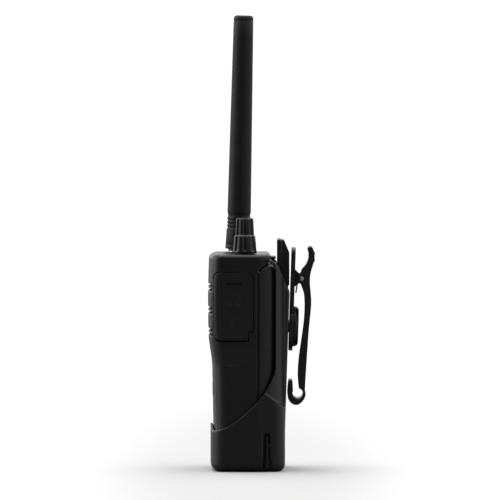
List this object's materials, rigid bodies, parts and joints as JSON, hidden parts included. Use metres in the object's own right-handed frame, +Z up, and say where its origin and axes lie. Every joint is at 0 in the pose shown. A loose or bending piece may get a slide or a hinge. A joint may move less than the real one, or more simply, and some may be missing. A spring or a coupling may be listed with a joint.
{
  "type": "portable two-way radio in belt holster",
  "caption": "Handheld two-way radio with whip antenna, rotary knobs, talk button and battery pack, standing in a hard holster with a sprung swivel belt clip.",
  "frame": {"origin": "centre of the holster's flat underside, on the surface it stands on", "axes": "+Z up; -Y the radio's front with the speaker, +Y its back with the belt clip; +X the side with the accessory jacks, -X the side with the talk button"},
  "size_m": [0.062, 0.058, 0.2455],
  "materials": {
    "holster_plastic": "fine matte moulded texture",
    "housing_plastic": "satin moulded black",
    "battery_plastic": "satin moulded black",
    "clip_plastic": "satin moulded black",
    "knob_plastic": "soft gloss black",
    "button_rubber": "matte black rubber",
    "cover_rubber": "matte black rubber",
    "antenna_rubber": "matte black moulded jacket",
    "seal_rubber": "matte black rubber",
    "steel": "bright steel",
    "spring_steel": "dark spring steel",
    "chassis_metal": "cast and bead blasted",
    "brass": "nickel-free machined brass",
    "contact_gold": "gold flash",
    "circuit_board": "green solder mask",
    "component_black": "moulded black",
    "speaker_paper": "pressed dark paper",
    "mesh_cloth": "woven black cloth",
    "cell_wrap": "heat-shrink sleeve",
    "indicator": "translucent red lens",
    "fibre_rod": "glass-fibre"
  },
  "bodies": {
    "holster": {"holster_shell": "holster_plastic", "swivel_stud": "steel"},
    "latch": {"latch_tongue": "holster_plastic"},
    "clip_base": {"clip_plate": "clip_plastic", "swivel_cap": "clip_plastic", "clip_pin": "steel", "clip_spring": "spring_steel"},
    "clip_lever": {"clip_arm": "clip_plastic"},
    "radio": {"front_housing": "housing_plastic", "chassis": "chassis_metal", "chassis_screws": "steel", "housing_seal": "seal_rubber", "main_board": "circuit_board", "rf_shields": "steel", "speaker": "component_black", "speaker_cone": "speaker_paper", "speaker_mesh": "mesh_cloth", "microphone": "component_black", "volume_control": "component_black", "channel_switch": "component_black", "antenna_socket": "steel", "status_led": "indicator", "jack_block": "component_black", "jack_sleeves": "brass", "side_board": "circuit_board", "side_switches": "component_black", "battery_contacts": "contact_gold", "name_badge": "component_black", "battery_case": "battery_plastic", "battery_lid": "battery_plastic", "battery_cells": "cell_wrap", "battery_terminals": "contact_gold"},
    "volume": {"volume_knob": "knob_plastic", "volume_shaft": "brass"},
    "channel": {"channel_knob": "knob_plastic", "channel_shaft": "brass"},
    "antenna": {"antenna_whip": "antenna_rubber", "antenna_ferrule": "steel", "antenna_core": "fibre_rod", "antenna_seal": "seal_rubber"},
    "talk_button": {"ptt_button": "button_rubber"},
    "upper_button": {"upper_side_button": "button_rubber"},
    "lower_button": {"lower_side_button": "button_rubber"},
    "cover": {"jack_cover": "cover_rubber"},
    "battery_release": {"battery_latch": "housing_plastic"}
  },
  "joints": [
    {"name": "radio_lift", "type": "slide", "parent": "holster", "child": "radio", "axis": [0, 0, 1], "range_m": [0, 0.115]},
    {"name": "latch_flex", "type": "hinge", "parent": "holster", "child": "latch", "pos_m": [0, 0.0204, 0.0974], "axis": [-1, 0, 0], "range_deg": [0, 2], "stiffness_Nm_per_rad": 8},
    {"name": "clip_swivel", "type": "hinge", "parent": "holster", "child": "clip_base", "pos_m": [0, 0.02196, 0.0773], "axis": [0, 0.9995, -0.0325], "continuous": true},
    {"name": "clip_press", "type": "hinge", "parent": "clip_base", "child": "clip_lever", "pos_m": [0, 0.0291, 0.1033], "axis": [1, 0, 0], "range_deg": [0, 15], "stiffness_Nm_per_rad": 1.2, "springref_deg": -20.05, "deforming": ["clip_spring"]},
    {"name": "volume_turn", "type": "hinge", "parent": "radio", "child": "volume", "pos_m": [0.0165, -0.0016, 0.117], "axis": [0, 0, -1], "range_deg": [0, 270]},
    {"name": "channel_turn", "type": "hinge", "parent": "radio", "child": "channel", "pos_m": [-0.0015, -0.0016, 0.117], "axis": [0, 0, -1], "range_deg": [0, 337.5]},
    {"name": "antenna_unscrew", "type": "hinge", "parent": "radio", "child": "antenna", "pos_m": [-0.019, -0.0052, 0.116], "axis": [0, 0.0227, 0.9997], "range_deg": [0, 1800]},
    {"name": "talk_press", "type": "slide", "parent": "radio", "child": "talk_button", "axis": [1, 0, 0], "range_m": [0, 0.0008], "stiffness_N_per_m": 4000, "springref_m": -0.0002},
    {"name": "upper_press", "type": "slide", "parent": "radio", "child": "upper_button", "axis": [1, 0, 0], "range_m": [0, 0.0008], "stiffness_N_per_m": 3000, "springref_m": -0.0002},
    {"name": "lower_press", "type": "slide", "parent": "radio", "child": "lower_button", "axis": [1, 0, 0], "range_m": [0, 0.0008], "stiffness_N_per_m": 3000, "springref_m": -0.0002},
    {"name": "cover_open", "type": "hinge", "parent": "radio", "child": "cover", "pos_m": [0.02805, 0, 0.0714], "axis": [0, 1, 0], "range_deg": [0, 110]},
    {"name": "release_slide", "type": "slide", "parent": "radio", "child": "battery_release", "axis": [0, 1, 0], "range_m": [0, 0.0012], "stiffness_N_per_m": 400, "springref_m": -0.0005}
  ]
}
